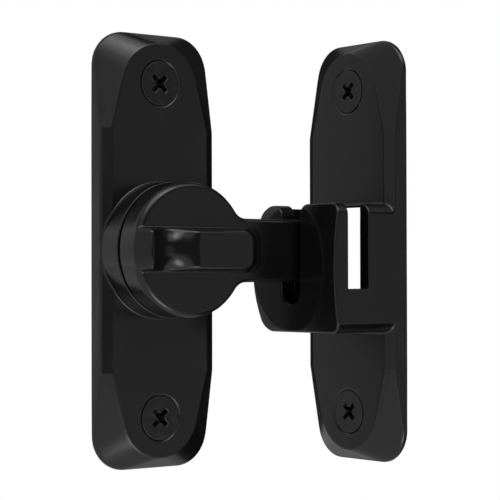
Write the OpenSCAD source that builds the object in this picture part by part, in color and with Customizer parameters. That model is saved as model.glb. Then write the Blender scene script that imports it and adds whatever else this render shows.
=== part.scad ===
// Flip latch for an inside corner: a turning hook on one plate, a cup-shaped catch on the other.
// The origin is the middle of the latch plate's back, -Y is out of its face, +X is towards the catch.

/* [Plates] */
// Height of each plate
plate_h = 96; // [92:1:110]
// Width of each plate
plate_w = 30; // [29:0.5:34]
// Thickness of each plate at its front face
plate_t = 4.8; // [4.4:0.1:5.4]
// Radius of each plate's four corners
corner_r = 8; // [6:0.5:10]
// Height of the side wall along a plate's middle
side_wall_h = 3.7; // [3:0.1:4]
// Height of the side wall round a plate's ends
end_wall_h = 1.1; // [0.8:0.1:1.6]
// Width of the bevel along a plate's middle
bevel_w = 2.4; // [1.8:0.1:3]
// Length of a plate's straight middle
middle_l = 53; // [46:1:56]
// Radius of the front face's round ends
front_end_r = 9.8; // [8.5:0.1:11]
// Margin between the front face's ends and the plate's ends
end_margin = 2.5; // [2:0.1:4]
// Depth of the pockets cast into a plate's back
back_pocket_depth = 2; // [1:0.1:2.4]
// Length of each back pocket
back_pocket_l = 9; // [6:0.5:10]

/* [Wood screws] */
// Distance from a plate's end to its screw
screw_margin = 11.25; // [10:0.25:13]
// Outer diameter of a screw's thread
screw_d = 4.8; // [4:0.1:5]
// Diameter of a screw's plain shank, inside the plate
shank_d = 4.2; // [3.4:0.1:4.4]
// Diameter of a screw's countersunk head
head_d = 10; // [8.6:0.1:10.4]
// Length of a screw, head included
screw_l = 16; // [14:1:24]
// Length of a screw's point
point_l = 4; // [3:0.5:6]
// Span of the cross recess in a screw's head
recess_span = 4.9; // [3.6:0.1:5.2]
// Width of one wing of the cross recess
recess_wing = 1.1; // [0.8:0.1:1.4]
// Depth of the cross recess
recess_depth = 2; // [1.2:0.1:2.4]
// Clearance between a screw and its hole, all round
hole_clear = 0.15; // [0.1:0.05:0.3]

/* [Knob] */
// Height of the boss that carries the knob, from the plate's back
boss_h = 10.2; // [9.6:0.1:12]
// How far the boss stands inside the plate's side walls
boss_inset = 0.1; // [0.1:0.1:1]
// How much smaller the knob is than the boss, all round
knob_step = 0.2; // [0.1:0.1:1]
// Gap between the boss and the knob
knob_gap = 0.5; // [0.3:0.05:0.6]
// Thickness of the knob's disc
knob_t = 6; // [5.4:0.1:7]
// Chamfer round the front of the knob's disc
rim_chamfer = 1; // [0.5:0.1:1.5]
// Small edge chamfer at the gap between boss and knob
edge_chamfer = 0.15; // [0.1:0.05:0.4]
// Width of the grip bar across the knob
grip_w = 8.1; // [7:0.1:9]
// Height of the grip bar above the knob's face
grip_h = 3.9; // [3:0.1:5]
// How far the grip bar's top reaches from the pivot towards the hook
grip_reach = 14; // [13:0.1:15]
// Corner radius of the grip bar's end
grip_end_r = 2.4; // [1:0.1:3]
// Radius of the hollow that the grip bar's end runs out in
grip_hollow_r = 4.4; // [3.6:0.1:5]
// Length of the finger scoop in the grip bar
scoop_l = 12.9; // [10:0.1:13.4]
// Depth of the finger scoop at its middle
scoop_depth = 1.5; // [0.8:0.1:2]
// Distance of the scoop's middle from the pivot
scoop_offset = 6.8; // [6:0.1:7.2]
// Radius across the scoop's waist
scoop_waist_r = 5.5; // [5:0.1:7]

/* [Hook arm] */
// Width of the arm
arm_w = 14; // [12:0.5:16]
// Thickness of the arm
arm_t = 4.6; // [4:0.1:5]
// Radius along the arm's edges
arm_edge_r = 1.2; // [0.6:0.1:1.8]
// Fillet between the knob's disc and the arm
neck_r = 4; // [3:0.5:6]
// Thickness of the hook behind the catch's lip
hook_t = 5; // [4:0.1:6]
// Clearance between the hook and the lip as the arm swings up
hook_clear = 0.4; // [0.3:0.05:1]
// Clearance between the hook's tip and the cup's bowed wall
hook_tip_clear = 0.6; // [0.4:0.1:1]

/* [Pivot] */
// Diameter of the knob's spigot
spigot_d = 8; // [7:0.1:9]
// Running clearance round the spigot, on the radius
pivot_clear = 0.05; // [0.03:0.01:0.1]
// Thickness of the boss's front wall, which the spigot turns in
bearing_l = 3.8; // [3:0.1:5]
// Diameter of the cavity behind the boss's front wall
cavity_d = 21; // [19:0.5:23]
// Diameter of the friction washer
friction_d = 18; // [15:0.5:20]
// Thickness of the friction washer
friction_t = 0.7; // [0.6:0.05:0.9]
// Diameter of the spring washer
spring_d = 14; // [13:0.1:16]
// Thickness of the spring washer's sheet
spring_t = 0.5; // [0.4:0.05:0.6]
// Height of the spring washer's cone as it is clamped
spring_h = 0.9; // [0.8:0.05:1.2]
// Diameter of the pivot washer
washer_d = 12; // [11:0.1:14]
// Thickness of the pivot washer
washer_t = 1; // [0.8:0.1:1.2]
// Diameter of the pivot screw's thread
pivot_screw_d = 3.9; // [3:0.1:4]
// Length of the pivot screw under its head
pivot_screw_l = 8.4; // [7:0.1:9]
// Diameter of the pivot screw's pan head
pivot_head_d = 7.8; // [7:0.1:8.4]
// Height of the pivot screw's pan head
pivot_head_h = 2.5; // [2:0.1:2.8]
// Clearance between stacked pivot pieces that turn on each other
stack_clear = 0.05; // [0.03:0.01:0.1]

/* [Catch] */
// Distance from the pivot to the catch plate's back
corner_x = 49; // [47:0.5:60]
// Gap between the catch plate's edge and the plane of the latch plate's back
corner_gap = 1.25; // [0.5:0.05:2]
// Top of the catch's cup above the pivot
cup_top = 10.4; // [9:0.1:12]
// Bottom of the catch's cup below the pivot
cup_drop = 18.3; // [17:0.1:20]
// Corner radius of the cup's outline
cup_corner_r = 2.7; // [2:0.1:3]
// Thickness of the cup's near side wall and floor
cup_wall = 3.2; // [2.6:0.1:3.6]
// How far the cup's bowed side stands inside the plate's edge
cup_bow_inset = 0.8; // [0.4:0.1:1.5]
// Radius of the cup's bowed side, towards the latch's wall
cup_bow_r = 38; // [32:1:60]
// Thickness of the cup's bowed wall at its middle
cup_bow_wall = 4.1; // [3.6:0.1:5]
// Corner radius inside the cup
cup_inner_r = 1.5; // [1:0.1:2]
// Play of the arm in the catch's side slot, on each side
slot_clear = 0.65; // [0.4:0.05:1]
// Play under the arm in the catch's side slot
slot_drop = 1.5; // [1:0.1:2.5]
// Thickness of the lip at its middle
lip_t = 5.25; // [4.8:0.05:6]
// How far the lip's back stands behind the side slot's edge
lip_step = 1.15; // [0.5:0.05:1.6]
// Radius of the lip's crowned front
crown_r = 75; // [60:5:120]
// Play of the arm in the lip's notch, on each side
notch_clear = 0.9; // [0.6:0.05:1.4]
// Depth of the lip's notch below the pivot
notch_drop = 12; // [11:0.1:13]
// Radius of the flare at the notch's mouth
notch_flare_r = 2.6; // [1:0.1:3]
// Radius of the hollow dish in the lip's front
dish_r = 55; // [45:1:75]
// Depth of the dish at its middle
dish_depth = 1.4; // [0.8:0.1:1.6]
// How far the dish's middle lies off the plate's middle, towards the latch's wall
dish_shift = 1.2; // [0:0.1:2]
// How far the window's top lies below the cup's top
window_drop = 0.2; // [0.1:0.1:0.5]

/* [Hidden] */
$fn = 64;
hull_fn = 48;
cut = 1;
finish = "#1b1b1c";

plate_r = plate_w / 2;
screw_z = plate_h / 2 - screw_margin;
front_end_z = plate_h / 2 - end_margin - front_end_r;
head_h = (head_d - shank_d) / 2;
seat_h = (head_d - screw_d) / 2;
head_sink = 0.1;

boss_r = plate_r - boss_inset;
knob_r = boss_r - knob_step;
knob_back = boss_h + knob_gap;
knob_face = knob_back + knob_t;
cavity_depth = boss_h - bearing_l;
back_pocket_inner = cavity_d / 2 + 5;

friction_sink = friction_t - knob_gap + stack_clear;
spigot_end = cavity_depth - spring_h - 2 * stack_clear;
washer_back = spigot_end - washer_t;
pivot_hole_l = pivot_screw_l - washer_t + 0.6;

arm_back = knob_face - arm_t;
arm_mid = knob_face - arm_t / 2;
slot_w = arm_t + 2 * slot_clear;
slot_far = arm_mid + slot_w / 2;
slot_floor = -arm_w / 2 - slot_drop;
notch_w = arm_t + 2 * notch_clear;

catch_y = -corner_gap - plate_r;
lip_inner = slot_far - lip_step;
lip_front = lip_inner + lip_t;
lip_inner_x = corner_x - lip_inner;
notch_x = catch_y + arm_mid;
cup_h = cup_top + cup_drop;
cup_mid = (cup_top - cup_drop) / 2;
window_top = cup_top - window_drop;
window_bottom = -cup_drop + cup_wall;
window_far = cup_bow_inset + cup_bow_wall - plate_r;
window_w = plate_r - cup_wall - window_far;
window_x = window_far + window_w / 2;
bow_x = cup_bow_inset + cup_bow_r - plate_r;
bow_corner_y = cup_h / 2 - cup_corner_r;
bow_overlap = 0.02;
bow_corner_x = bow_x - sqrt(pow(cup_bow_r - cup_corner_r + bow_overlap, 2) - pow(bow_corner_y, 2));

hook_x = sqrt(pow(lip_inner_x + hook_clear, 2) + pow(cup_top, 2));
hook_back = corner_gap + cup_bow_inset + cup_bow_wall + hook_tip_clear;
neck_x = sqrt(pow(knob_r + neck_r, 2) - pow(arm_w / 2 + neck_r, 2));

grip_base = grip_reach + grip_hollow_r;
hollow_sink = 0.1;
scoop_swing_r = (pow(scoop_l / 2, 2) + pow(scoop_depth, 2)) / (2 * scoop_depth);

// Places a piece drawn with its back on the XY plane on the latch's wall
module on_latch() {
    rotate([90, 0, 0]) children();
}

// Places a piece drawn with its back on the XY plane on the catch's wall, its own X towards the viewer
module on_catch() {
    translate([corner_x, catch_y, 0]) rotate([90, 0, -90]) children();
}

// Rectangle with round corners, about its own middle
module round_rect(w, h, r) {
    square([w - 2 * r, h], center = true);
    square([w, h - 2 * r], center = true);
    for (x = [-1, 1], y = [-1, 1]) translate([x * (w / 2 - r), y * (h / 2 - r)]) circle(r);
}

// Plate with a bevelled middle and facets that run out round both ends
module plate_blank() {
    difference() {
        hull() {
            translate([0, 0, -cut]) linear_extrude(end_wall_h + cut)
                round_rect(plate_w, plate_h, corner_r, $fn = hull_fn);
            linear_extrude(side_wall_h) square([plate_w, middle_l], center = true);
            linear_extrude(plate_t) square([plate_w - 2 * bevel_w, middle_l], center = true);
            for (y = [-1, 1]) translate([0, y * front_end_z, 0])
                cylinder(h = plate_t, r = front_end_r, $fn = hull_fn);
        }
        translate([-plate_w, -plate_h, -2 * cut]) cube([2 * plate_w, 2 * plate_h, 2 * cut]);
    }
}

// Countersunk hole for one wood screw
module screw_hole() {
    hole_r = screw_d / 2 + hole_clear;
    seat_r = head_d / 2 + hole_clear;
    translate([0, 0, -cut]) cylinder(h = plate_t + 2 * cut, r = hole_r);
    translate([0, 0, plate_t - seat_h - head_sink]) cylinder(h = seat_h, r1 = hole_r, r2 = seat_r);
    translate([0, 0, plate_t - head_sink]) cylinder(h = head_sink + cut, r = seat_r);
}

// Both screw holes of a plate
module screw_holes() {
    for (y = [-1, 1]) translate([0, y * screw_z, 0]) screw_hole();
}

// Shallow pockets cast into a plate's back, between the screws and the middle
module back_pockets(inner) {
    pocket_w = plate_w - 4 * bevel_w;
    for (y = [-1, 1]) translate([0, y * (inner + back_pocket_l / 2), -cut])
        linear_extrude(back_pocket_depth + cut) round_rect(pocket_w, back_pocket_l, cup_inner_r);
}

// Wood screw with its head's top at the plate's face and its thread from the plate's back on
module wood_screw() {
    r = screw_d / 2;
    top = plate_t - head_sink;
    difference() {
        rotate_extrude() polygon([
            [0, top], [head_d / 2, top], [shank_d / 2, top - head_h], [shank_d / 2, 0], [r, 0],
            [r, top - screw_l + point_l], [0, top - screw_l]
        ]);
        for (a = [45, 135]) rotate([0, 0, a]) translate([0, 0, top - recess_depth / 2 + cut / 2])
            cube([recess_span, recess_wing, recess_depth + cut], center = true);
    }
}

// Latch plate: bevelled plate with the knob's boss, cored out from behind
module latch_plate() {
    color(finish) on_latch() difference() {
        union() {
            plate_blank();
            rotate_extrude() polygon([
                [0, cut], [boss_r, cut], [boss_r, boss_h - edge_chamfer],
                [boss_r - edge_chamfer, boss_h], [0, boss_h]
            ]);
        }
        translate([0, 0, -cut]) cylinder(h = cavity_depth + cut, d = cavity_d);
        cylinder(h = boss_h + cut, r = spigot_d / 2 + pivot_clear);
        translate([0, 0, boss_h - friction_sink])
            cylinder(h = friction_sink + cut, r = friction_d / 2 + hole_clear);
        screw_holes();
        back_pockets(back_pocket_inner);
    }
}

// Disc and arm in one outline, with fillets at the neck
module neck_outline() {
    disc_share = knob_r / (knob_r + neck_r);
    fillet_z = arm_w / 2 + neck_r;
    difference() {
        polygon([
            [0, 0], [neck_x * disc_share, fillet_z * disc_share], [neck_x, arm_w / 2],
            [neck_x, -arm_w / 2], [neck_x * disc_share, -fillet_z * disc_share]
        ]);
        for (y = [-1, 1]) translate([neck_x, y * fillet_z]) circle(neck_r);
    }
}

// Hourglass that shapes the grip bar's scoop: hollow along the bar, round across it
module scoop_waist() {
    waist_l = scoop_l + 2 * cut;
    rotate([0, 90, 0]) rotate_extrude() difference() {
        translate([0, -waist_l / 2]) square([scoop_waist_r + scoop_depth + cut, waist_l]);
        translate([scoop_waist_r + scoop_swing_r, 0]) circle(scoop_swing_r, $fn = 128);
    }
}

// Grip bar across the knob, flush with the disc at one end and running out on the arm at the other
module grip_bar() {
    top = knob_face + grip_h;
    difference() {
        intersection() {
            translate([0, 0, arm_mid]) linear_extrude(top - arm_mid) union() {
                translate([-knob_r, -grip_w / 2]) square([knob_r + grip_base - grip_end_r, grip_w]);
                translate([grip_base / 2, 0]) round_rect(grip_base, grip_w, grip_end_r);
            }
            union() {
                translate([0, 0, knob_back]) cylinder(h = top, r = knob_r);
                translate([0, -grip_w, knob_back]) cube([knob_r + grip_base, 2 * grip_w, top]);
            }
        }
        translate([grip_base, grip_w, knob_face + grip_hollow_r - hollow_sink]) rotate([90, 0, 0]) {
            cylinder(h = 2 * grip_w, r = grip_hollow_r);
            translate([-grip_hollow_r, 0, 0]) cube([2 * grip_hollow_r, grip_h, 2 * grip_w]);
        }
        difference() {
            translate([-scoop_offset - scoop_l / 2, -grip_w, top - 2 * scoop_depth])
                cube([scoop_l, 2 * grip_w, 3 * scoop_depth]);
            translate([-scoop_offset, 0, top - scoop_depth - scoop_waist_r]) scoop_waist();
        }
    }
}

// Arm with rounded edges, ending in a hook that turns back towards the latch's wall
module hook_arm() {
    arm_end = hook_x + hook_t;
    translate([neck_x - cut, 0, arm_mid]) rotate([90, 0, 90])
        linear_extrude(arm_end - arm_edge_r - neck_x + cut) round_rect(arm_w, arm_t, arm_edge_r);
    translate([hook_x + hook_t / 2, arm_w / 2, (hook_back + knob_face) / 2]) rotate([90, 0, 0])
        linear_extrude(arm_w) round_rect(hook_t, knob_face - hook_back, arm_edge_r);
}

// Turning knob: disc, grip bar, hook arm and spigot in one casting
module turn_knob() {
    color(finish) on_latch() difference() {
        union() {
            rotate_extrude() polygon([
                [0, knob_back], [knob_r - edge_chamfer, knob_back], [knob_r, knob_back + edge_chamfer],
                [knob_r, knob_face - rim_chamfer], [knob_r - rim_chamfer, knob_face], [0, knob_face]
            ]);
            translate([0, 0, arm_back]) linear_extrude(arm_t) neck_outline();
            hook_arm();
            grip_bar();
            translate([0, 0, spigot_end]) cylinder(h = knob_back - spigot_end + cut, d = spigot_d);
        }
        translate([0, 0, spigot_end - cut])
            cylinder(h = pivot_hole_l + cut, r = pivot_screw_d / 2 + pivot_clear);
    }
}

// Friction washer in the boss's front, which the knob turns on
module friction_washer() {
    color("#d8d4c4") on_latch() translate([0, 0, boss_h - friction_sink]) difference() {
        cylinder(h = friction_t, d = friction_d);
        translate([0, 0, -cut]) cylinder(h = friction_t + 2 * cut, r = spigot_d / 2 + hole_clear);
    }
}

// Conical spring washer that draws the knob against the boss
module spring_washer() {
    bore_r = spigot_d / 2 + hole_clear;
    base = cavity_depth - stack_clear;
    color("#8a8c8f") on_latch() rotate_extrude() polygon([
        [spring_d / 2, base], [spring_d / 2, base - spring_t],
        [bore_r, base - spring_h], [bore_r, base - spring_h + spring_t]
    ]);
}

// Flat washer clamped to the spigot's end
module pivot_washer() {
    color("#a3a5a8") on_latch() translate([0, 0, washer_back]) difference() {
        cylinder(h = washer_t, d = washer_d);
        translate([0, 0, -cut])
            cylinder(h = washer_t + 2 * cut, r = pivot_screw_d / 2 + hole_clear);
    }
}

// Pan-head screw that holds the knob from behind
module pivot_screw() {
    head_r = pivot_head_d / 2;
    color("#a3a5a8") on_latch() difference() {
        rotate_extrude() polygon([
            [0, washer_back - pivot_head_h], [head_r - edge_chamfer, washer_back - pivot_head_h],
            [head_r, washer_back - pivot_head_h + edge_chamfer], [head_r, washer_back],
            [pivot_screw_d / 2, washer_back], [pivot_screw_d / 2, washer_back + pivot_screw_l],
            [0, washer_back + pivot_screw_l]
        ]);
        for (a = [0, 90]) rotate([0, 0, a]) translate([0, 0, washer_back - pivot_head_h])
            cube([recess_span, recess_wing, recess_depth], center = true);
    }
}

// Cross-section of the notch that lets the arm into the lip, with a flared mouth
module notch_outline() {
    r = notch_w / 2;
    bottom = -notch_drop + r;
    translate([0, bottom]) circle(r);
    translate([-r, bottom]) square([notch_w, cup_top - bottom + cut]);
    difference() {
        translate([-r - notch_flare_r, cup_top - notch_flare_r])
            square([notch_w + 2 * notch_flare_r, notch_flare_r + cut]);
        for (x = [-1, 1]) translate([x * (r + notch_flare_r), cup_top - notch_flare_r])
            circle(notch_flare_r);
    }
}

// Outline of the cup, with its far side bowed
module cup_outline() {
    near_x = plate_r - cup_corner_r;
    wedge = 1.4;
    wedge_x = bow_x + wedge * (bow_corner_x - bow_x);
    intersection() {
        translate([bow_x, 0]) circle(cup_bow_r, $fn = 128);
        polygon([
            [bow_corner_x, bow_corner_y], [wedge_x, wedge * bow_corner_y],
            [wedge_x, -wedge * bow_corner_y], [bow_corner_x, -bow_corner_y]
        ]);
    }
    translate([bow_corner_x, -cup_h / 2]) square([near_x - bow_corner_x, cup_h]);
    translate([bow_corner_x, -bow_corner_y]) square([plate_r - bow_corner_x, 2 * bow_corner_y]);
    for (x = [bow_corner_x, near_x], y = [-1, 1]) translate([x, y * bow_corner_y]) circle(cup_corner_r);
}

// Outside of the cup, crowned at the lip
module cup_outside() {
    intersection() {
        translate([0, cup_mid, cut]) linear_extrude(lip_front) cup_outline();
        translate([-plate_w, cup_mid, lip_front - crown_r]) rotate([0, 90, 0])
            cylinder(h = 2 * plate_w, r = crown_r, $fn = 128);
    }
}

// Catch plate: bevelled plate with a cup for the hook, open at the top and through to the back
module catch_plate() {
    window_h = window_top - window_bottom;
    color(finish) on_catch() difference() {
        union() {
            plate_blank();
            cup_outside();
        }
        translate([window_x, (window_top + window_bottom) / 2, -cut])
            linear_extrude(lip_inner + cut) round_rect(window_w, window_h, cup_inner_r);
        translate([window_far, window_top - cut - cup_inner_r, plate_t])
            cube([window_w, cup_corner_r + 2 * cup_inner_r, lip_inner - plate_t]);
        translate([plate_r - cup_wall - cut, slot_floor, slot_far - slot_w])
            cube([cup_wall + 2 * cut, cup_top - slot_floor + cut, slot_w]);
        translate([notch_x, 0, lip_inner - cut]) linear_extrude(lip_t + 2 * cut) notch_outline();
        translate([-dish_shift, plate_h / 2, lip_front - dish_depth + dish_r]) rotate([90, 0, 0])
            cylinder(h = plate_h, r = dish_r, $fn = 128);
        screw_holes();
        back_pockets(-window_bottom + cup_wall);
    }
}

module latch_screw_upper() {
    color(finish) on_latch() translate([0, screw_z, 0]) wood_screw();
}

module latch_screw_lower() {
    color(finish) on_latch() translate([0, -screw_z, 0]) wood_screw();
}

module catch_screw_upper() {
    color(finish) on_catch() translate([0, screw_z, 0]) wood_screw();
}

module catch_screw_lower() {
    color(finish) on_catch() translate([0, -screw_z, 0]) wood_screw();
}

latch_plate();
turn_knob();
friction_washer();
spring_washer();
pivot_washer();
pivot_screw();
latch_screw_upper();
latch_screw_lower();
catch_plate();
catch_screw_upper();
catch_screw_lower();
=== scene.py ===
import math
import bmesh
import bpy
import numpy as np
from mathutils import Matrix, Vector


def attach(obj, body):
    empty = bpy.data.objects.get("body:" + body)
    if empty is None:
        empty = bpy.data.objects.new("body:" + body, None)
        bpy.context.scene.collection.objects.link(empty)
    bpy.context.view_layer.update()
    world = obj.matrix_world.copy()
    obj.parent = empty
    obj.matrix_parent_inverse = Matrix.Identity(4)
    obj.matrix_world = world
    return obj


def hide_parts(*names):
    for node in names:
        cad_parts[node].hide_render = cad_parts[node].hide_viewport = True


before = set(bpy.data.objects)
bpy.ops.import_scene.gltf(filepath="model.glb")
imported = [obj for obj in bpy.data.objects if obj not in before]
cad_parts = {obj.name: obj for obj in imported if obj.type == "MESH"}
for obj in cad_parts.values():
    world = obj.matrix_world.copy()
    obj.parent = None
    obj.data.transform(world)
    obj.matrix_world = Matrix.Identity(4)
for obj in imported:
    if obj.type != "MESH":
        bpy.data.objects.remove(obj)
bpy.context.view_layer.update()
scene = bpy.context.scene
scene.view_settings.view_transform = "Standard"
print("frame loaded:", len(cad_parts), "nodes")

# All shapes are distance fields in millimetres, in the frame of the wall that carries them:
# x and y along the plate, z out of it.
catchAt = {"x": 49, "y": -16.25}
toLatch = Matrix(((1, 0, 0, 0), (0, 0, -1, 0), (0, 1, 0, 0), (0, 0, 0, 1)))
toCatch = Matrix(((0, 0, -1, catchAt["x"]), (-1, 0, 0, catchAt["y"]), (0, 1, 0, 0), (0, 0, 0, 1)))
mmToM = 0.001
slant = math.sqrt(0.5)  # sine of 45 degrees

# how the fields become meshes
net = {
    "margin": 2.3, "spare": 3, "slab": 32,  # in cells of the grid
    "settle": 3, "slopeStep": 0.02, "leastSlope": 0.2,
    "normalStep": 0.06, "bendStep": 0.12, "highlightFrom": 0.5, "highlightOver": 3,
}


def roundMax(a, b, r):
    # both at once, with the edge rounded
    u = np.maximum(a + r, 0)
    v = np.maximum(b + r, 0)
    return np.minimum(np.maximum(a, b), -r) + np.sqrt(u * u + v * v)


def roundMin(a, b, r):
    # either one, with a fillet in the corner
    u = np.maximum(r - a, 0)
    v = np.maximum(r - b, 0)
    return np.maximum(np.minimum(a, b), r) - np.sqrt(u * u + v * v)


def cutOut(body, hole, r):
    return roundMax(body, -hole, r)


def roundBox(x, y, w, h, r):
    qx = np.abs(x) - w / 2 + r
    qy = np.abs(y) - h / 2 + r
    outside = np.hypot(np.maximum(qx, 0), np.maximum(qy, 0))
    return np.minimum(np.maximum(qx, qy), 0) + outside - r


def helix(x, y, z, pitch):
    # from 0 to 1 over each turn of a thread
    turn = np.arctan2(y, x) / (2 * math.pi)
    return (z / pitch - turn) % 1.0


def slopeOf(shape, p, e):
    d = np.empty_like(p)
    for i in range(3):
        a = p.copy()
        b = p.copy()
        a[:, i] += e
        b[:, i] -= e
        d[:, i] = (shape(*a.T) - shape(*b.T)) / (2 * e)
    return d


def bendOf(shape, p, e):
    # curvature in 1/mm: high on convex edges
    total = -6 * shape(*p.T)
    for i in range(3):
        for s in (-e, e):
            q = p.copy()
            q[:, i] += s
            total = total + shape(*q.T)
    return total / (e * e)


def netOf(shape, low, high, step):
    # one point in each cell that the surface passes through, and a quad across each crossed edge
    low = np.array(low, float) - net["margin"] * step
    count = np.ceil((np.array(high, float) - low) / step).astype(int) + net["spare"]
    ax = [(low[i] + step * np.arange(count[i])).astype(np.float32) for i in range(3)]
    f = np.empty(count, np.float32)
    for i in range(0, count[0], net["slab"]):
        slab = slice(i, i + net["slab"])
        part = shape(ax[0][slab, None, None], ax[1][None, :, None], ax[2][None, None, :])
        f[slab] = np.broadcast_to(part, f[slab].shape)
    solid = f < 0
    ends = (slice(0, -1), slice(1, None))
    held = sum(solid[i, j, k].astype(np.int8) for i in ends for j in ends for k in ends)
    cells = np.argwhere((held > 0) & (held < 8))
    number = np.full(held.shape, -1, np.int64)
    number[tuple(cells.T)] = np.arange(len(cells))
    total = np.zeros((len(cells), 3))
    hits = np.zeros(len(cells))
    for axis in range(3):
        others = [i for i in range(3) if i != axis]
        for s in (0, 1):
            for t in (0, 1):
                a = np.zeros(3, int)
                a[others[0]], a[others[1]] = s, t
                b = a.copy()
                b[axis] = 1
                fa = f[tuple((cells + a).T)].astype(float)
                fb = f[tuple((cells + b).T)].astype(float)
                cross = (fa < 0) != (fb < 0)
                share = np.where(cross, fa / np.where(cross, fa - fb, 1), 0)
                spot = np.tile(a.astype(float), (len(cells), 1))
                spot[:, axis] = share
                total += np.where(cross[:, None], spot, 0)
                hits += cross
    points = low + step * (cells + total / hits[:, None])
    quads = []
    for axis in range(3):
        o1, o2 = (axis + 1) % 3, (axis + 2) % 3
        first = [slice(None)] * 3
        second = [slice(None)] * 3
        first[axis], second[axis] = ends
        edges = np.argwhere(solid[tuple(first)] != solid[tuple(second)])
        ring = []
        for s, t in ((-1, -1), (0, -1), (0, 0), (-1, 0)):
            q = edges.copy()
            q[:, o1] += s
            q[:, o2] += t
            ring.append(number[tuple(q.T)])
        ring = np.stack(ring, 1)
        outward = solid[tuple(edges.T)]
        quads.append(np.where(outward[:, None], ring, ring[:, ::-1]))
    # draw the points onto the surface
    for _ in range(net["settle"]):
        d = shape(*points.T)
        g = slopeOf(shape, points, net["slopeStep"])
        move = -d[:, None] * g / np.maximum((g * g).sum(1), net["leastSlope"])[:, None]
        points = points + np.clip(move, -step, step)
    return points, np.concatenate(quads)


def thinOut(points, quads, keep):
    # fewer faces where the surface is flat
    mesh = bpy.data.meshes.new("dense")
    mesh.from_pydata(points.tolist(), [], quads.tolist())
    dense = bpy.data.objects.new("dense", mesh)
    scene.collection.objects.link(dense)
    thin = dense.modifiers.new("thin", "DECIMATE")
    thin.ratio = keep
    graph = bpy.context.evaluated_depsgraph_get()
    made = bpy.data.meshes.new_from_object(dense.evaluated_get(graph))
    bpy.data.objects.remove(dense)
    bpy.data.meshes.remove(mesh)
    return made


def carve(name, shape, low, high, settings):
    points, quads = netOf(shape, low, high, settings["step"])
    mesh = thinOut(points, quads, settings["keep"])
    mesh.name = name
    p = np.empty(len(mesh.vertices) * 3)
    mesh.vertices.foreach_get("co", p)
    p = p.reshape(-1, 3)
    # normals come from the field itself, and so does the painted edge highlight, which follows the
    # curvature of convex edges
    normal = slopeOf(shape, p, net["normalStep"])
    normal /= np.maximum(np.linalg.norm(normal, axis=1), 1e-6)[:, None]
    bend = bendOf(shape, p, net["bendStep"])
    # painted highlight: how much lighter tone each convex edge gets
    edgeLight = np.clip((bend - net["highlightFrom"]) / net["highlightOver"], 0, 1)
    print("carved", name, len(points), "points, kept", len(mesh.polygons), "faces")
    return mesh, normal, edgeLight


def place(name, carved, matrix, body, node, material):
    source, normal, edgeLight = carved
    mesh = source.copy()
    mesh.name = name
    mesh.transform(Matrix.Scale(mmToM, 4) @ matrix)
    turn = np.array(matrix.to_3x3())
    mesh.polygons.foreach_set("use_smooth", [True] * len(mesh.polygons))
    mesh.normals_split_custom_set_from_vertices((normal @ turn.T).tolist())
    edge = mesh.attributes.new("edgeRub", "FLOAT", "POINT")
    edge.data.foreach_set("value", edgeLight.astype(np.float32))
    mesh.materials.append(material)
    piece = bpy.data.objects.new(name, mesh)
    scene.collection.objects.link(piece)
    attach(piece, body)
    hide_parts(node)


# camera at the photo's place
camera = {
    "place": (-0.222356, -0.326196, -0.005935),
    "right": (0.79277979, -0.60950411, -0.0022258),
    "up": (-0.00762823, -0.0135734, 0.99987878),
    "ahead": (0.60946043, 0.79266671, 0.01541015),
    "lens": 127.959, "sensor": 36, "nearest": 0.01,
}
lensData = bpy.data.cameras.new("camera")
lensData.lens = camera["lens"]
lensData.sensor_width = camera["sensor"]
lensData.clip_start = camera["nearest"]
view = bpy.data.objects.new("camera", lensData)
scene.collection.objects.link(view)
aim = Matrix((camera["right"], camera["up"], -Vector(camera["ahead"]))).transposed().to_4x4()
view.matrix_world = Matrix.Translation(camera["place"]) @ aim
scene.camera = view
print("camera set")


# node helpers
def addNode(tree, kind, x, y, **values):
    n = tree.nodes.new(kind)
    n.location = (x, y)
    for key, value in values.items():
        setattr(n, key, value)
    return n


def newGroup(name, values, colors):
    # every finish takes sizes, levels and colours, and gives colour, roughness and height
    group = bpy.data.node_groups.new(name, "ShaderNodeTree")
    socket = group.interface.new_socket
    for label, value in values:
        socket(name=label, in_out="INPUT", socket_type="NodeSocketFloat").default_value = value
    for label, value in colors:
        socket(name=label, in_out="INPUT", socket_type="NodeSocketColor").default_value = value
    socket(name="Color", in_out="OUTPUT", socket_type="NodeSocketColor")
    socket(name="Roughness", in_out="OUTPUT", socket_type="NodeSocketFloat")
    socket(name="Height", in_out="OUTPUT", socket_type="NodeSocketFloat")
    start = addNode(group, "NodeGroupInput", -900, 0)
    end = addNode(group, "NodeGroupOutput", 600, 0)
    return group, start, end


def newMaterial(name):
    material = bpy.data.materials.new(name)
    material.use_nodes = True
    tree = material.node_tree
    return material, tree, tree.nodes["Principled BSDF"]
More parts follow.
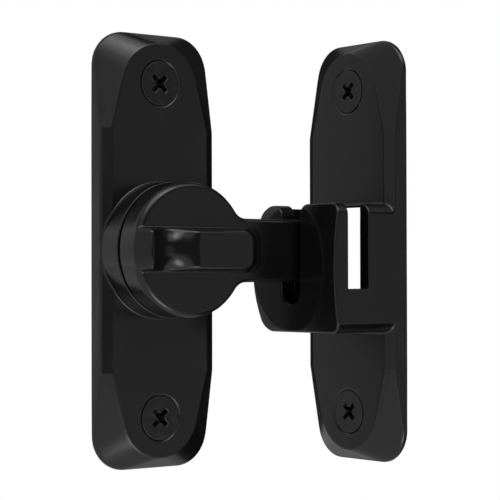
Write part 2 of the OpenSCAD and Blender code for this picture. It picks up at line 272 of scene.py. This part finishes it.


# orange peel of sprayed paint, its dull and bright patches, and a painted highlight that lightens the
# edges
def paintGroup():
    group, start, end = newGroup(
        "sprayedPaint",
        (("Peel Size", 1500.0), ("Patch Size", 90.0), ("Dull", 0.4), ("Bright", 0.3), ("Edge", 0.0)),
        (("Deep", (0.004, 0.004, 0.004, 1)), ("Pale", (0.008, 0.008, 0.008, 1)),
         ("Worn", (0.02, 0.02, 0.02, 1))))
    link = group.links.new
    where = addNode(group, "ShaderNodeTexCoord", -900, -400)
    peel = addNode(group, "ShaderNodeTexNoise", -600, -300)
    peel.inputs["Detail"].default_value = 2
    patch = addNode(group, "ShaderNodeTexNoise", -600, 0)
    patch.inputs["Detail"].default_value = 5
    patch.inputs["Roughness"].default_value = 0.6
    for noise, size in ((peel, "Peel Size"), (patch, "Patch Size")):
        link(where.outputs["Object"], noise.inputs["Vector"])
        link(start.outputs[size], noise.inputs["Scale"])
    rough = addNode(group, "ShaderNodeMapRange", -200, 0)
    rough.inputs["From Min"].default_value = 0.3
    rough.inputs["From Max"].default_value = 0.7
    link(patch.outputs["Fac"], rough.inputs["Value"])
    link(start.outputs["Bright"], rough.inputs["To Min"])
    link(start.outputs["Dull"], rough.inputs["To Max"])
    tone = addNode(group, "ShaderNodeMix", -200, 300, data_type="RGBA")
    link(patch.outputs["Fac"], tone.inputs["Factor"])
    link(start.outputs["Deep"], tone.inputs["A"])
    link(start.outputs["Pale"], tone.inputs["B"])
    # painted highlight: the edge mask mixes in a lighter tone
    highlightMix = addNode(group, "ShaderNodeMix", 100, 300, data_type="RGBA")
    link(start.outputs["Edge"], highlightMix.inputs["Factor"])
    link(tone.outputs["Result"], highlightMix.inputs["A"])
    link(start.outputs["Worn"], highlightMix.inputs["B"])
    link(highlightMix.outputs["Result"], end.inputs["Color"])
    link(rough.outputs["Result"], end.inputs["Roughness"])
    link(peel.outputs["Fac"], end.inputs["Height"])
    return group


# cloudy tint and fine grain of bare plating, steel and nylon
def bareGroup():
    group, start, end = newGroup(
        "cloudedFinish",
        (("Cloud Size", 260.0), ("Grain Size", 4000.0), ("Dull", 0.4), ("Bright", 0.2)),
        (("Deep", (0.4, 0.4, 0.4, 1)), ("Pale", (0.6, 0.6, 0.6, 1))))
    link = group.links.new
    where = addNode(group, "ShaderNodeTexCoord", -900, -400)
    cloud = addNode(group, "ShaderNodeTexNoise", -600, 0)
    cloud.inputs["Detail"].default_value = 4
    grain = addNode(group, "ShaderNodeTexNoise", -600, -300)
    for noise, size in ((cloud, "Cloud Size"), (grain, "Grain Size")):
        link(where.outputs["Object"], noise.inputs["Vector"])
        link(start.outputs[size], noise.inputs["Scale"])
    rough = addNode(group, "ShaderNodeMapRange", -200, 0)
    link(cloud.outputs["Fac"], rough.inputs["Value"])
    link(start.outputs["Bright"], rough.inputs["To Min"])
    link(start.outputs["Dull"], rough.inputs["To Max"])
    tint = addNode(group, "ShaderNodeMix", -200, 300, data_type="RGBA")
    link(cloud.outputs["Fac"], tint.inputs["Factor"])
    link(start.outputs["Deep"], tint.inputs["A"])
    link(start.outputs["Pale"], tint.inputs["B"])
    link(tint.outputs["Result"], end.inputs["Color"])
    link(rough.outputs["Result"], end.inputs["Roughness"])
    link(grain.outputs["Fac"], end.inputs["Height"])
    return group


def finishMaterial(name, group, settings):
    # a setting goes to the group's input of that name, or else to the shader's
    material, tree, shader = newMaterial(name)
    finish = addNode(tree, "ShaderNodeGroup", -500, 0, node_tree=group)
    for label, value in settings["inputs"].items():
        holder = finish if label in finish.inputs else shader
        holder.inputs[label].default_value = value
    bump = addNode(tree, "ShaderNodeBump", -250, -250)
    bump.inputs["Strength"].default_value = settings["bump"]
    bump.inputs["Distance"].default_value = settings["depth"]
    link = tree.links.new
    if "Edge" in finish.inputs:
        # the painted edge highlight is read from the mesh
        edge = addNode(tree, "ShaderNodeAttribute", -800, 0, attribute_name="edgeRub")
        link(edge.outputs["Fac"], finish.inputs["Edge"])
    link(finish.outputs["Color"], shader.inputs["Base Color"])
    link(finish.outputs["Roughness"], shader.inputs["Roughness"])
    link(finish.outputs["Height"], bump.inputs["Height"])
    link(bump.outputs["Normal"], shader.inputs["Normal"])
    return material


castingPaint = {
    "bump": 0.12, "depth": 0.00005,
    "inputs": {
        "Peel Size": 1400.0, "Patch Size": 70.0, "Dull": 0.29, "Bright": 0.21,
        "Deep": (0.003, 0.003, 0.0031, 1), "Pale": (0.005, 0.005, 0.0052, 1),
        # the last tone is the painted highlight on the edges
        "Worn": (0.012, 0.012, 0.012, 1), "Specular IOR Level": 0.5,
    },
}
knobPaint = dict(castingPaint, inputs=dict(castingPaint["inputs"], Dull=0.27, Bright=0.2))
# screws get a brighter painted edge highlight
screwPaint = dict(castingPaint, inputs=dict(
    castingPaint["inputs"], Dull=0.36, Bright=0.26, Worn=(0.03, 0.03, 0.03, 1)))
zincFinish = {
    "bump": 0.15, "depth": 0.00005,
    "inputs": {
        "Cloud Size": 260.0, "Grain Size": 4000.0, "Dull": 0.42, "Bright": 0.22,
        "Deep": (0.42, 0.43, 0.46, 1), "Pale": (0.6, 0.6, 0.6, 1), "Metallic": 1.0,
    },
}
springFinish = {
    "bump": 0.15, "depth": 0.00005,
    "inputs": {
        "Cloud Size": 220.0, "Grain Size": 5000.0, "Dull": 0.4, "Bright": 0.25,
        "Deep": (0.24, 0.24, 0.25, 1), "Pale": (0.36, 0.36, 0.37, 1), "Metallic": 1.0,
    },
}
nylonFinish = {
    "bump": 0.15, "depth": 0.00005,
    "inputs": {
        "Cloud Size": 300.0, "Grain Size": 3000.0, "Dull": 0.6, "Bright": 0.4,
        "Deep": (0.62, 0.59, 0.48, 1), "Pale": (0.72, 0.69, 0.6, 1), "Metallic": 0.0,
    },
}
sprayedPaint = paintGroup()
cloudedFinish = bareGroup()
blackCasting = finishMaterial("blackCasting", sprayedPaint, castingPaint)
blackKnob = finishMaterial("blackKnob", sprayedPaint, knobPaint)
blackScrew = finishMaterial("blackScrew", sprayedPaint, screwPaint)
zincSteel = finishMaterial("zincSteel", cloudedFinish, zincFinish)
springSteel = finishMaterial("springSteel", cloudedFinish, springFinish)
nylon = finishMaterial("nylon", cloudedFinish, nylonFinish)
print("materials ready")


# plates: bevelled middle, facets that run out round both ends
plate = {
    "height": 96.0, "width": 30.0, "thick": 4.8, "cornerR": 8.0, "sideWall": 3.7, "endWall": 1.1,
    "bevel": 2.4, "middle": 53.0, "frontEndR": 9.8, "endMargin": 2.5, "strips": 48,
    "steepest": 0.02, "flattest": 0.999,  # a facet's slope lies between these
    "screwY": 36.75, "holeR": 2.55, "seatR": 5.15, "seatTop": 4.7, "seatRise": 0.5, "seatEdge": 0.15,
    "pocketW": 20.4, "pocketL": 9.0, "pocketR": 1.5, "pocketDepth": 2.0, "pocketEdge": 0.45,
    "faceEdge": 0.12, "wallEdge": 0.35, "backEdge": 0.2,
}


def facetPlanes(s):
    # one corner's planes from the hull of the edges that the facets join
    bm = bmesh.new()
    halfW, halfM = s["width"] / 2, s["middle"] / 2
    cx, cy = halfW - s["cornerR"], s["height"] / 2 - s["cornerR"]
    endY = s["height"] / 2 - s["endMargin"] - s["frontEndR"]
    for sx in (-1, 1):
        for sy in (-1, 1):
            bm.verts.new((sx * halfW, sy * halfM, s["sideWall"]))
            bm.verts.new((sx * (halfW - s["bevel"]), sy * halfM, s["thick"]))
            for i in range(s["strips"] + 1):
                a = math.pi / 2 * i / s["strips"]
                ca, sa = math.cos(a), math.sin(a)
                wallX, wallY = cx + s["cornerR"] * ca, cy + s["cornerR"] * sa
                faceX, faceY = s["frontEndR"] * ca, endY + s["frontEndR"] * sa
                bm.verts.new((sx * wallX, sy * wallY, s["endWall"]))
                bm.verts.new((sx * faceX, sy * faceY, s["thick"]))
    bmesh.ops.convex_hull(bm, input=bm.verts)
    bm.normal_update()
    planes = set()
    for face in bm.faces:
        n = face.normal
        if n.x > -1e-4 and n.y > -1e-4 and s["steepest"] < n.z < s["flattest"]:
            planes.add(tuple(round(v, 4) for v in (n.x, n.y, n.z, n.dot(face.verts[0].co))))
    bm.free()
    return sorted(planes)


plateFacets = facetPlanes(plate)
print("plate facets:", len(plateFacets))


def plateBlank(x, y, z):
    s = plate
    ax, ay = np.abs(x), np.abs(y)
    outline = roundBox(x, y, s["width"], s["height"], s["cornerR"])
    facet = None
    for nx, ny, nz, d in plateFacets:
        one = (nx * ax + ny * ay - d) + nz * z
        facet = one if facet is None else np.maximum(facet, one)
    body = roundMax(facet, z - s["thick"], s["faceEdge"])
    body = roundMax(body, outline, s["wallEdge"])
    return roundMax(body, -z, s["backEdge"])


def screwSeats(body, x, y, z):
    s = plate
    r = np.hypot(x, np.abs(y) - s["screwY"])
    seat = (r - s["seatR"] + s["seatTop"] - z) * slant
    seat = np.maximum(seat, r - s["seatR"] - s["seatRise"])  # the cone ends just above the face
    return cutOut(body, np.minimum(r - s["holeR"], seat), s["seatEdge"])


def backPockets(body, x, y, z, middle):
    s = plate
    pocket = roundBox(x, np.abs(y) - middle, s["pocketW"], s["pocketL"], s["pocketR"])
    return cutOut(body, np.maximum(pocket, z - s["pocketDepth"]), s["pocketEdge"])


def carvePlate(name, shape, settings):
    halfW, halfH = plate["width"] / 2, plate["height"] / 2
    return carve(name, shape, (-halfW, -halfH, 0), (halfW, halfH, settings["reach"]), settings)


# latch plate: the boss carries the knob and is cored out from behind
latch = {
    "bossR": 14.9, "reach": 10.2, "bossFrom": 1, "bossEdge": 0.2, "bossFillet": 0.4,
    "cavityR": 10.5, "cavityDepth": 6.4, "cavityEdge": 0.25, "boreR": 4.05, "boreEdge": 0.15,
    "washerR": 9.15, "washerDepth": 0.25, "washerEdge": 0.1, "pocketY": 20.0,
    "step": 0.25, "keep": 0.22,
}


def latchShape(x, y, z):
    s = latch
    r = np.hypot(x, y)
    boss = roundMax(r - s["bossR"], z - s["reach"], s["bossEdge"])
    boss = np.maximum(boss, s["bossFrom"] - z)
    body = roundMin(plateBlank(x, y, z), boss, s["bossFillet"])
    body = np.maximum(body, np.abs(x) - plate["width"] / 2)
    body = cutOut(body, np.maximum(r - s["cavityR"], z - s["cavityDepth"]), s["cavityEdge"])
    body = cutOut(body, r - s["boreR"], s["boreEdge"])
    ring = np.maximum(r - s["washerR"], s["reach"] - s["washerDepth"] - z)
    body = cutOut(body, ring, s["washerEdge"])
    body = screwSeats(body, x, y, z)
    return backPockets(body, x, y, z, s["pocketY"])


latchCarved = carvePlate("latchPlate", latchShape, latch)
place("latchPlate", latchCarved, toLatch, "base", "latch_plate", blackCasting)


# turning knob: disc, grip bar with its finger scoop, arm and hook
knob = {
    "discR": 14.7, "back": 10.7, "face": 16.7, "backEdge": 0.2, "deep": -20.0,
    "rim": 1.45, "armRim": 1.0, "rimBlend": 8,
    "gripW": 8.1, "gripTop": 20.6, "gripBack": 30, "gripSink": 2.3, "gripFlat": 0.7,
    "gripEdge": 0.6, "gripFillet": 0.45, "gripDraft": 0.6, "draftMost": 1.5,
    "tailR": 0.9, "tailFrom": 16.2, "tailLean": 0.36, "tailFlat": 0.94,
    "endFrom": 13.4, "endTo": 18.4, "endCornerR": 2.4, "endWrap": 2.0, "wrapPower": 5,
    "endSink": 0.05, "rollStart": 1.7, "rollEnd": 2.6,
    "scoopX": -7.2, "scoopL": 13.8, "scoopDepth": 1.5, "scoopR": 5.5,
    "armW": 14.0, "armT": 4.6, "armEdge": 1.2, "armFrom": 8, "armEnd": 39.73,
    "neckR": 4.0, "neckFrom": 6, "neckSpare": 0.5,
    "hookX": 34.73, "hookBack": 6.75, "hookEdge": 1.1,
    "spigotR": 4.0, "spigotEnd": 5.4, "spigotIn": 1, "holeR": 2.0, "holeL": 8.0, "holeEdge": 0.1,
    "step": 0.22, "keep": 0.36,
}


def gripShape(x, y, z):
    s = knob
    height = s["gripTop"] - s["face"]
    # the scoop is hollow along the bar and round across it, and runs out at both its ends
    t = (x - s["scoopX"]) / (s["scoopL"] / 2)
    hollow = np.clip(1 - t * t, 0, 1) ** 2
    share = np.minimum(np.abs(y) / (s["gripW"] / 2), 1)
    across = s["scoopR"] - np.sqrt(s["scoopR"] ** 2 - (share * s["gripW"] / 2) ** 2)
    top = s["gripTop"] - hollow * (s["scoopDepth"] + across)
    # the end near the hook rolls over and runs out on the arm, sooner at its corners
    wrap = s["endWrap"] * share ** s["wrapPower"]
    run = np.clip((x - s["endFrom"] + wrap) / (s["endTo"] - s["endFrom"]), 0, 1)
    fall = (height + s["endSink"]) * (1 - (1 - run ** s["rollStart"]) ** s["rollEnd"])
    # the sides lean out towards the disc
    lean = s["gripDraft"] * np.clip((s["gripTop"] - z) / height, 0, s["draftMost"])
    plan = roundBox(x - (s["endTo"] - s["gripBack"]) / 2, np.maximum(np.abs(y) - lean, 0),
                    s["gripBack"] + s["endTo"], s["gripW"], s["endCornerR"])
    bar = roundMax(plan, (z - top + fall) * s["gripFlat"], s["gripEdge"])
    # the tail follows the disc and leans in above it
    tail = np.hypot(x, y) - s["discR"] + s["tailLean"] * np.maximum(z - s["tailFrom"], 0)
    bar = roundMax(bar, np.where(x < 0, tail * s["tailFlat"], s["deep"]), s["tailR"])
    return np.maximum(bar, s["face"] - s["gripSink"] - z)


def knobShape(x, y, z):
    s = knob
    r = np.hypot(x, y)
    ay = np.abs(y)
    filletY = s["armW"] / 2 + s["neckR"]
    span = s["discR"] + s["neckR"]
    neckX = math.sqrt(span ** 2 - filletY ** 2)
    neck = s["neckR"] - np.hypot(x - neckX, ay - filletY)
    neck = np.maximum(neck, (ay * neckX - x * filletY) / span)
    neck = np.maximum(neck, np.maximum(x - neckX - s["neckSpare"], s["neckFrom"] - x))
    arm = np.maximum(np.maximum(ay - s["armW"] / 2, x - s["armEnd"]), s["armFrom"] - x)
    flat = np.minimum(neck, arm)
    # disc and arm share one front face and its rounded edge, which is tighter on the arm
    blend = np.clip((s["rimBlend"] - x) / s["rimBlend"], 0, 1)
    rim = s["armRim"] + (s["rim"] - s["armRim"]) * blend
    front = roundMax(np.minimum(r - s["discR"], flat), z - s["face"], rim)
    under = np.minimum(roundMax(r - s["discR"], s["back"] - z, s["backEdge"]),
                       roundMax(flat, s["face"] - s["armT"] - z, s["armEdge"]))
    body = np.maximum(front, under)
    hookT = s["armEnd"] - s["hookX"]
    hook = roundBox(x - s["hookX"] - hookT / 2, z - (s["hookBack"] + s["face"]) / 2,
                    hookT, s["face"] - s["hookBack"], s["hookEdge"])
    hook = roundMax(hook, ay - s["armW"] / 2, s["hookEdge"])
    body = np.minimum(body, hook)
    body = roundMin(body, gripShape(x, y, z), s["gripFillet"])
    body = np.maximum(body, np.where(x < 0, r - s["discR"], s["deep"]))
    spigot = np.maximum(s["spigotEnd"] - z, z - s["back"] - s["spigotIn"])
    body = np.minimum(body, np.maximum(r - s["spigotR"], spigot))
    hole = np.maximum(r - s["holeR"], z - s["spigotEnd"] - s["holeL"])
    return cutOut(body, hole, s["holeEdge"])


knobCarved = carve("turnKnob", knobShape, (-knob["discR"], -knob["discR"], knob["spigotEnd"]),
                   (knob["armEnd"], knob["discR"], knob["gripTop"]), knob)
place("turnKnob", knobCarved, toLatch, "knob", "turn_knob", blackKnob)


# catch plate: a cup for the hook, with a crowned, dished and notched lip
catch = {
    "top": 10.4, "bottom": -18.3, "reach": 21.5, "cornerR": 2.7, "bowInset": 0.8, "bowR": 38.0,
    "lipInner": 16.2, "lipFront": 21.45, "lipEdge": 0.4, "crownR": 75.0,
    "dishR": 55.0, "dishDepth": 1.4, "dishX": -1.2, "dishEdge": 0.06,
    "notchX": -1.85, "notchW": 6.4, "notchBottom": -12.0,
    "flareR": 2.6, "flareFrom": 6, "flareOver": 3, "flareLeast": 0.05,
    "wallFrom": 1, "wallLap": 0.2, "cupFillet": 0.5, "innerEdge": 0.3,
    "cupFar": -10.1, "cupNear": 11.8, "cupTop": 10.2, "cupBottom": -15.1, "cupR": 1.5,
    "mouthRise": 0.8, "mouthUp": 4, "mouthDown": 3,
    "slotBack": 11.45, "slotFront": 17.35, "slotFloor": -8.5, "slotIn": 1,
    "pocketY": 22.8, "step": 0.25, "keep": 0.25,
}


def catchShape(x, y, z):
    s = catch
    half = plate["width"] / 2
    midY = (s["top"] + s["bottom"]) / 2
    up = y - midY
    outline = roundMax(x - half, np.abs(up) - (s["top"] - s["bottom"]) / 2, s["cornerR"])
    bow = np.hypot(x - (s["bowInset"] + s["bowR"] - half), up) - s["bowR"]
    outline = roundMax(outline, bow, s["cornerR"])
    # the notch opens upwards in a flare
    notchR = s["notchW"] / 2
    across = np.abs(x - s["notchX"])
    low = y - s["notchBottom"] - notchR
    notch = np.where(low > 0, across - notchR, np.hypot(across, low) - notchR)
    opening = np.clip((y - s["top"] + s["flareFrom"]) / s["flareOver"], s["flareLeast"], 1)
    lipPlan = roundMax(outline, -notch, s["flareR"] * opening)
    crown = np.hypot(up, z - s["lipFront"] + s["crownR"]) - s["crownR"]
    dishZ = s["lipFront"] - s["dishDepth"] + s["dishR"]
    dish = np.hypot(x - s["dishX"], z - dishZ) - s["dishR"]
    front = cutOut(crown, dish, s["dishEdge"])
    lip = np.maximum(roundMax(lipPlan, front, s["lipEdge"]), s["lipInner"] - z)
    walls = np.maximum(outline, z - s["lipInner"] - s["wallLap"])
    walls = np.maximum(walls, s["wallFrom"] - z)
    body = roundMin(plateBlank(x, y, z), walls, s["cupFillet"])
    body = np.maximum(body, np.abs(x) - half)
    # the cup's inside goes through the plate, and its mouth is open at the top
    width = s["cupNear"] - s["cupFar"]
    tall = s["cupTop"] - s["cupBottom"]
    px = x - (s["cupNear"] + s["cupFar"]) / 2
    inside = roundBox(px, y - (s["cupTop"] + s["cupBottom"]) / 2, width, tall, s["cupR"])
    body = cutOut(body, np.maximum(inside, z - s["lipInner"]), s["innerEdge"])
    mouth = np.maximum(plate["thick"] + s["mouthRise"] - z, z - s["lipInner"])
    mouth = np.maximum(np.abs(px) - width / 2, mouth)
    mouth = np.maximum(mouth, np.maximum(y - s["cupTop"] - s["mouthUp"],
                                         s["cupTop"] - s["mouthDown"] - y))
    body = cutOut(body, mouth, s["innerEdge"])
    body = np.minimum(body, lip)
    slot = np.maximum(np.maximum(s["slotFloor"] - y, s["cupNear"] - s["slotIn"] - x),
                      np.maximum(s["slotBack"] - z, z - s["slotFront"]))
    body = cutOut(body, slot, s["innerEdge"])
    body = screwSeats(body, x, y, z)
    return backPockets(body, x, y, z, s["pocketY"])


catchCarved = carvePlate("catchPlate", catchShape, catch)
place("catchPlate", catchCarved, toCatch, "base", "catch_plate", blackCasting)


# cross recess of both kinds of screw, narrower as it goes down
recess = {"reachDraft": 0.42, "wingDraft": 0.1, "coreR": 1.15, "coreDraft": 0.35, "edge": 0.1}


def crossRecess(body, x, y, under, s):
    u = np.abs(x + y) * slant
    v = np.abs(x - y) * slant
    down = np.clip(under, 0, s["recessDepth"])
    reach = s["recess"] / 2 - recess["reachDraft"] * down
    thick = s["wing"] / 2 - recess["wingDraft"] * down
    bars = np.minimum(np.maximum(u - reach, v - thick), np.maximum(v - reach, u - thick))
    bars = np.minimum(bars, np.hypot(x, y) - (recess["coreR"] - recess["coreDraft"] * down))
    return cutOut(body, np.maximum(bars, under - s["recessDepth"]), recess["edge"])


# wood screws: countersunk head, plain shank and a cut thread
wood = {
    "top": 4.7, "headR": 5.0, "headEdge": 0.18, "headFillet": 0.2,
    "recess": 4.9, "wing": 1.1, "recessDepth": 2.1,
    "shankR": 2.1, "shankTop": 0.5, "shankEnd": -0.6, "shankEdge": 0.3,
    "threadR": 2.4, "coreR": 1.6, "pitch": 1.9, "ridge": 0.36, "threadFlat": 0.7,
    "threadTop": 0.0, "threadLap": 1, "threadLead": 0.3, "threadGrow": 1.5,
    "tip": -11.3, "pointL": 4.0, "pointBow": 0.8,
    "step": 0.15, "keep": 0.4,
}


def woodShape(x, y, z):
    s = wood
    r = np.hypot(x, y)
    head = np.maximum(r - s["headR"], (r - s["headR"] + s["top"] - z) * slant)
    head = roundMax(head, z - s["top"], s["headEdge"])
    ridge = np.clip(1 - np.abs(helix(x, y, z, s["pitch"]) - 0.5) / s["ridge"], 0, 1)
    point = np.clip((z - s["tip"]) / s["pointL"], 0, 1)
    start = np.clip((s["threadTop"] + s["threadLead"] - z) / s["threadGrow"], 0, 1)
    thread = s["coreR"] + (s["threadR"] - s["coreR"]) * ridge * start
    stem = (r - thread * point ** s["pointBow"]) * s["threadFlat"]
    stem = np.maximum(stem, np.maximum(z - s["threadTop"] - s["threadLap"], s["tip"] - z))
    shank = roundMax(r - s["shankR"], s["shankEnd"] - z, s["shankEdge"])
    shank = np.maximum(shank, z - s["top"] + s["shankTop"])
    body = roundMin(head, np.minimum(stem, shank), s["headFillet"])
    return crossRecess(body, x, y, s["top"] - z, s)


woodCarved = carve("woodScrew", woodShape, (-wood["headR"], -wood["headR"], wood["tip"]),
                   (wood["headR"], wood["headR"], wood["top"]), wood)
for wall, matrix in (("latch", toLatch), ("catch", toCatch)):
    for end, sign in (("Upper", 1), ("Lower", -1)):
        spot = matrix @ Matrix.Translation((0, sign * plate["screwY"], 0))
        place(wall + "Screw" + end, woodCarved, spot, "base", wall + "_screw_" + end.lower(),
              blackScrew)


# pivot screw: pan head, seen from behind
pivot = {
    "headFrom": 1.9, "washerBack": 4.4, "headR": 3.9, "domeR": 6.5, "headEdge": 0.5,
    "recess": 4.4, "wing": 1.0, "recessDepth": 1.5,
    "shankR": 1.95, "shankLap": 1, "end": 12.8, "pitch": 1.3, "threadDepth": 0.35, "threadFlat": 0.85,
    "step": 0.13, "keep": 0.35,
}


def pivotShape(x, y, z):
    s = pivot
    r = np.hypot(x, y)
    dome = np.hypot(r, z - s["headFrom"] - s["domeR"]) - s["domeR"]
    head = roundMax(np.maximum(r - s["headR"], z - s["washerBack"]), dome, s["headEdge"])
    ridge = np.abs(helix(x, y, z, s["pitch"]) - 0.5) * 2
    shank = (r - s["shankR"] + s["threadDepth"] * ridge) * s["threadFlat"]
    shank = np.maximum(shank, np.maximum(z - s["end"], s["washerBack"] - s["shankLap"] - z))
    body = np.minimum(head, shank)
    return crossRecess(body, x, y, z - s["headFrom"], s)


pivotCarved = carve("pivotScrew", pivotShape, (-pivot["headR"], -pivot["headR"], pivot["headFrom"]),
                    (pivot["headR"], pivot["headR"], pivot["end"]), pivot)
place("pivotScrew", pivotCarved, toLatch, "knob", "pivot_screw", zincSteel)

# the washers keep their solids
washers = {"friction_washer": nylon, "spring_washer": springSteel, "pivot_washer": zincSteel}
for node, material in washers.items():
    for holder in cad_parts[node].material_slots:
        holder.material = material
print("pieces placed")


# studio: white paper all round, dim screens that the paint mirrors, soft boxes and a pale floor
studio = {
    "room": 0.25, "paper": 1.0, "screenR": 0.95, "screenSteps": 16,
    # from and to azimuth, from and to height, level
    "screens": (
        ("screenRight", -67, -40, -0.24, 0.24, 0.37),
        ("screenRightTop", -67, -40, 0.24, 0.9, 0.06),
        ("screenRightLow", -67, -40, -0.5, -0.24, 0.06),
        ("screenEast", -40, 25, -0.5, 0.9, 0.05),
        ("screenFrontRight", -115, -67, -0.5, 0.17, 0.1),
        ("screenFrontTop", -116, -102, 0.2, 0.7, 0.8),
        ("screenNearTop", -102, -67, 0.17, 0.7, 0.08),
        ("screenFront", -150, -115, -0.5, 0.9, 0.45),
        ("screenLeft", -205, -150, -0.5, 0.9, 0.45),
        ("screenFarLeft", 134, 155, -0.5, 0.9, 0.38),
        ("screenLeftBack", 126.5, 134, -0.2, 0.3, 0.21),
        ("screenBossBack", 118, 126.5, -0.2, 0.3, 0.8),
        ("screenBack", 25, 118, -0.5, 0.75, 0.03),
    ),
    # dark cards: one behind the arm and one behind the cup's window are painted shade, dark sheets
    # that the dish and the window mirror in place of shade; one over the floor
    # each has a foot and two sides
    "flags": (
        ("paintedDishShade", (0.0085, 0.008, -0.022), (0.0085, 0, 0), (0, 0, 0.035)),
        ("paintedCupShade", (0.054, -0.036, -0.022), (0, 0.034, 0), (0, 0, 0.035)),
        ("floorFlag", (0.11, -0.25, -0.128), (0.38, 0, 0), (0, 0.5, 0)),
    ),
    "flagLevel": 0.01,
    # from and to azimuth, level
    "ceilings": (("ceilingRight", -20, 50, 0.08), ("ceilingLeft", 50, 340, 0.45)),
    "ceilingZ": 0.9, "ceilingSteps": 48,
    "floorZ": -0.13, "floorR": 0.5, "floorSides": 96,
    "floorColor": (0.86, 0.86, 0.86, 1), "floorRough": 0.9, "floorShine": 0.1,
    # place, size, level
    "boxes": (
        ("topBox", (-0.15, -0.3, 0.75), 0.6, 1.8),
        ("rightBox", (0.13, -0.55, 0.70), 0.3, 3.0),
        ("edgeBox", (0.42, -0.55, 0.68), 0.5, 0.8),
        ("lowBox", (0.0, -0.115, -0.122), 0.07, 4.0),
        ("frontBox", (-0.65, -0.85, 0.12), 0.25, 2.5),
    ),
    "boxAim": (0.02, -0.01, 0),
}
white = (1, 1, 1, 1)
black = (0, 0, 0, 1)

world = bpy.data.worlds.new("studio")
scene.world = world
world.use_nodes = True
tree = world.node_tree
tree.nodes.clear()
ray = addNode(tree, "ShaderNodeLightPath", -600, 200)
seen = addNode(tree, "ShaderNodeMath", -400, 200, operation="MAXIMUM")
shown = addNode(tree, "ShaderNodeMath", -200, 200, operation="MAXIMUM")
dim = addNode(tree, "ShaderNodeBackground", -200, 0)
dim.inputs["Color"].default_value = white
dim.inputs["Strength"].default_value = studio["room"]
paper = addNode(tree, "ShaderNodeBackground", -200, -150)
paper.inputs["Color"].default_value = white
paper.inputs["Strength"].default_value = studio["paper"]
mix = addNode(tree, "ShaderNodeMixShader", 50, 0)
sky = addNode(tree, "ShaderNodeOutputWorld", 250, 0)
tree.links.new(ray.outputs["Is Camera Ray"], seen.inputs[0])
tree.links.new(ray.outputs["Is Glossy Ray"], seen.inputs[1])
tree.links.new(seen.outputs[0], shown.inputs[0])
tree.links.new(ray.outputs["Is Transmission Ray"], shown.inputs[1])
tree.links.new(shown.outputs[0], mix.inputs["Fac"])
tree.links.new(dim.outputs[0], mix.inputs[1])
tree.links.new(paper.outputs[0], mix.inputs[2])
tree.links.new(mix.outputs[0], sky.inputs["Surface"])


def addScreen(name, points, faces, level):
    # glows for the paint to mirror, and the camera looks through it
    mesh = bpy.data.meshes.new(name)
    mesh.from_pydata(points, [], faces)
    screen = bpy.data.objects.new(name, mesh)
    scene.collection.objects.link(screen)
    material, _, shader = newMaterial(name)
    shader.inputs["Base Color"].default_value = black
    shader.inputs["Specular IOR Level"].default_value = 0
    shader.inputs["Emission Color"].default_value = white
    shader.inputs["Emission Strength"].default_value = level
    mesh.materials.append(material)
    screen.visible_camera = False
    return screen


def ringOf(radius, start, end, steps):
    turns = [math.radians(start + (end - start) * i / steps) for i in range(steps + 1)]
    return [(radius * math.cos(a), radius * math.sin(a)) for a in turns]


steps = studio["screenSteps"]
for name, start, end, low, high, level in studio["screens"]:
    arc = ringOf(studio["screenR"], start, end, steps)
    addScreen(name, [(x, y, low) for x, y in arc] + [(x, y, high) for x, y in arc],
              [(i, i + 1, i + steps + 2, i + steps + 1) for i in range(steps)], level)
# the dish and cup cards are painted shade, seen only in reflections
for name, foot, wide, tall in studio["flags"]:
    a, b, c = Vector(foot), Vector(wide), Vector(tall)
    card = addScreen(name, [a, a + b, a + b + c, a + c], [(0, 1, 2, 3)], studio["flagLevel"])
    card.visible_diffuse = False
    card.visible_shadow = False
steps = studio["ceilingSteps"]
for name, start, end, level in studio["ceilings"]:
    arc = [(0, 0)] + ringOf(studio["screenR"], start, end, steps)
    addScreen(name, [(x, y, studio["ceilingZ"]) for x, y in arc],
              [(0, i, i + 1) for i in range(1, steps + 1)], level)

floorMesh = bpy.data.meshes.new("floor")
steps = studio["floorSides"]
rim = ringOf(studio["floorR"], 0, 360, steps)[:-1]
floorMesh.from_pydata([(x, y, studio["floorZ"]) for x, y in rim], [], [tuple(range(steps))])
floor = bpy.data.objects.new("floor", floorMesh)
scene.collection.objects.link(floor)
floorMaterial, tree, shader = newMaterial("floor")
shader.inputs["Base Color"].default_value = studio["floorColor"]
shader.inputs["Roughness"].default_value = studio["floorRough"]
shader.inputs["Emission Color"].default_value = white
ray = addNode(tree, "ShaderNodeLightPath", -600, -200)
mirrored = addNode(tree, "ShaderNodeMath", -300, -200, operation="MULTIPLY")
mirrored.inputs[1].default_value = studio["floorShine"]
tree.links.new(ray.outputs["Is Glossy Ray"], mirrored.inputs[0])
tree.links.new(mirrored.outputs[0], shader.inputs["Emission Strength"])
floorMesh.materials.append(floorMaterial)

for name, spot, size, level in studio["boxes"]:
    lamp = bpy.data.lights.new(name, "AREA")
    lamp.shape = "SQUARE"
    lamp.size = size
    lamp.energy = level * math.pi * size * size
    box = bpy.data.objects.new(name, lamp)
    scene.collection.objects.link(box)
    box.location = spot
    towards = Vector(studio["boxAim"]) - Vector(spot)
    box.rotation_euler = towards.to_track_quat("-Z", "Y").to_euler()
print("studio lit")
